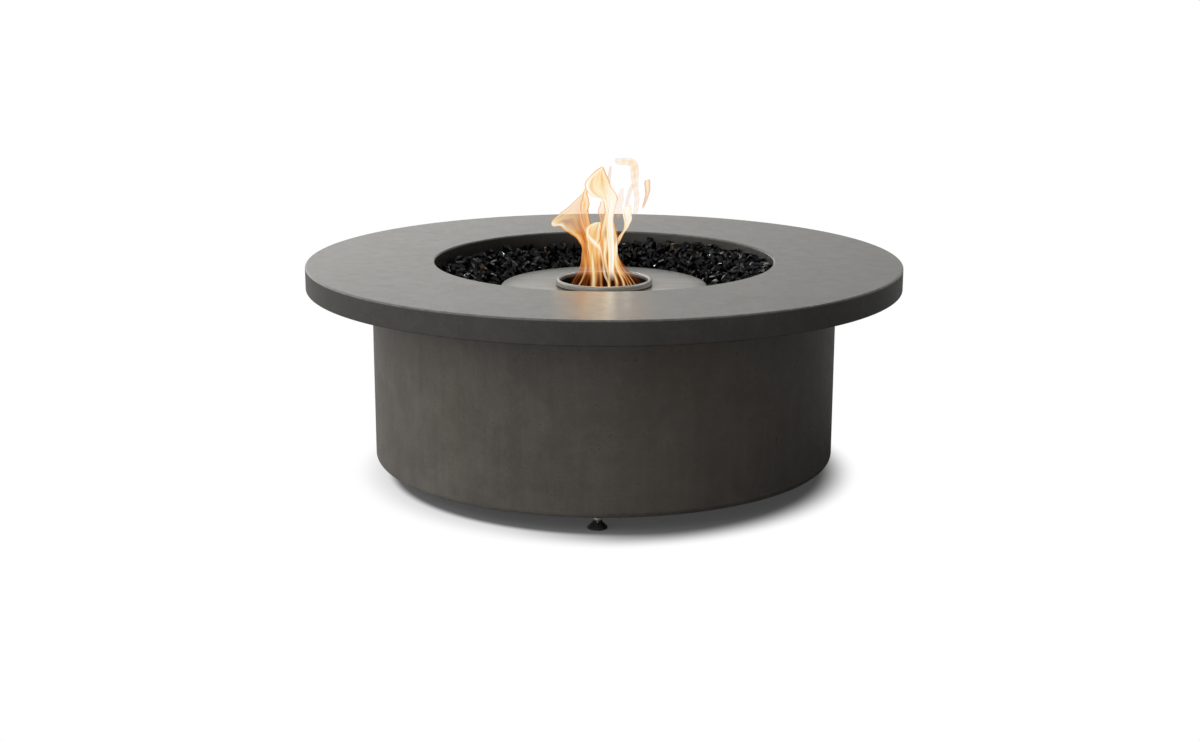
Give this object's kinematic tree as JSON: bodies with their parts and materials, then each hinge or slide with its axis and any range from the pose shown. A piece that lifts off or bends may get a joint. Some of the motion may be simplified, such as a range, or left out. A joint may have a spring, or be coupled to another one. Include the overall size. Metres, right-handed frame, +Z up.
{
  "type": "fire table",
  "caption": "Round outdoor fire table: a thick cast ring top on a cast drum with levelling feet, and a lift-out liquid fuel burner set in black fire glass.",
  "frame": {"origin": "on the floor under the middle of the table", "axes": "+Z up the table's axis; -Y towards the front, where a foot stands; +X to the right"},
  "size_m": [1.016, 1.016, 0.363],
  "materials": {
    "concrete": "satin",
    "black_rubber": "matte",
    "brass_insert": "satin",
    "zinc_steel": "satin",
    "black_steel": "satin",
    "black_glass": "gloss",
    "brushed_plate": "satin",
    "brushed_steel": "satin",
    "polished_steel": "polished",
    "ceramic_wool": "matte",
    "ceramic": "matte",
    "black_plastic": "satin"
  },
  "bodies": {
    "table": {"table_top": "concrete", "base_drum": "concrete", "seam_gasket": "black_rubber", "top_inserts": "brass_insert", "top_washers": "zinc_steel", "top_bolts": "zinc_steel", "tray_gasket": "black_rubber", "fire_tray": "black_steel", "tray_inserts": "brass_insert", "tray_screws": "zinc_steel", "glass_bed": "black_glass", "glass_shards": "black_glass", "foot_inserts": "brass_insert"},
    "burner": {"burner_plate": "brushed_plate", "burner_casing": "brushed_steel", "burner_insulation": "ceramic_wool", "vessel_spacers": "ceramic", "fuel_vessel": "brushed_steel", "vessel_neck": "brushed_steel", "fill_tab": "brushed_steel"},
    "ring": {"flame_ring": "polished_steel"},
    "foot_pad_front_body": {"foot_pad_front": "black_plastic"},
    "foot_stem_front_body": {"foot_stem_front": "zinc_steel"},
    "foot_pad_right_body": {"foot_pad_right": "black_plastic"},
    "foot_stem_right_body": {"foot_stem_right": "zinc_steel"},
    "foot_pad_back_body": {"foot_pad_back": "black_plastic"},
    "foot_stem_back_body": {"foot_stem_back": "zinc_steel"},
    "foot_pad_left_body": {"foot_pad_left": "black_plastic"},
    "foot_stem_left_body": {"foot_stem_left": "zinc_steel"}
  },
  "joints": [
    {"name": "burner_lift", "type": "slide", "parent": "table", "child": "burner", "axis": [0, 0, 1], "range_m": [0, 0.2]},
    {"name": "ring_lift", "type": "slide", "parent": "burner", "child": "ring", "axis": [0, 0, 1], "range_m": [0, 0.12]},
    {"name": "foot_front_height", "type": "slide", "parent": "table", "child": "foot_pad_front_body", "axis": [0, 0, 1], "range_m": [-0.012, 0.0045]},
    {"name": "foot_front_turn", "type": "hinge", "parent": "foot_pad_front_body", "child": "foot_stem_front_body", "pos_m": [-0.01022, -0.36586, 0.03], "axis": [0, 0, 1], "range_deg": [-3457, 1297]},
    {"name": "foot_right_height", "type": "slide", "parent": "table", "child": "foot_pad_right_body", "axis": [0, 0, 1], "range_m": [-0.012, 0.0045]},
    {"name": "foot_right_turn", "type": "hinge", "parent": "foot_pad_right_body", "child": "foot_stem_right_body", "pos_m": [0.36586, -0.01022, 0.03], "axis": [0, 0, 1], "range_deg": [-3457, 1297]},
    {"name": "foot_back_height", "type": "slide", "parent": "table", "child": "foot_pad_back_body", "axis": [0, 0, 1], "range_m": [-0.012, 0.0045]},
    {"name": "foot_back_turn", "type": "hinge", "parent": "foot_pad_back_body", "child": "foot_stem_back_body", "pos_m": [0.01022, 0.36586, 0.03], "axis": [0, 0, 1], "range_deg": [-3457, 1297]},
    {"name": "foot_left_height", "type": "slide", "parent": "table", "child": "foot_pad_left_body", "axis": [0, 0, 1], "range_m": [-0.012, 0.0045]},
    {"name": "foot_left_turn", "type": "hinge", "parent": "foot_pad_left_body", "child": "foot_stem_left_body", "pos_m": [-0.36586, 0.01022, 0.03], "axis": [0, 0, 1], "range_deg": [-3457, 1297]}
  ],
  "couplings": [
    {"joint": "foot_front_turn", "follows": "foot_front_height", "rad_per_m": 5026.5},
    {"joint": "foot_right_turn", "follows": "foot_right_height", "rad_per_m": 5026.5},
    {"joint": "foot_back_turn", "follows": "foot_back_height", "rad_per_m": 5026.5},
    {"joint": "foot_left_turn", "follows": "foot_left_height", "rad_per_m": 5026.5}
  ]
}
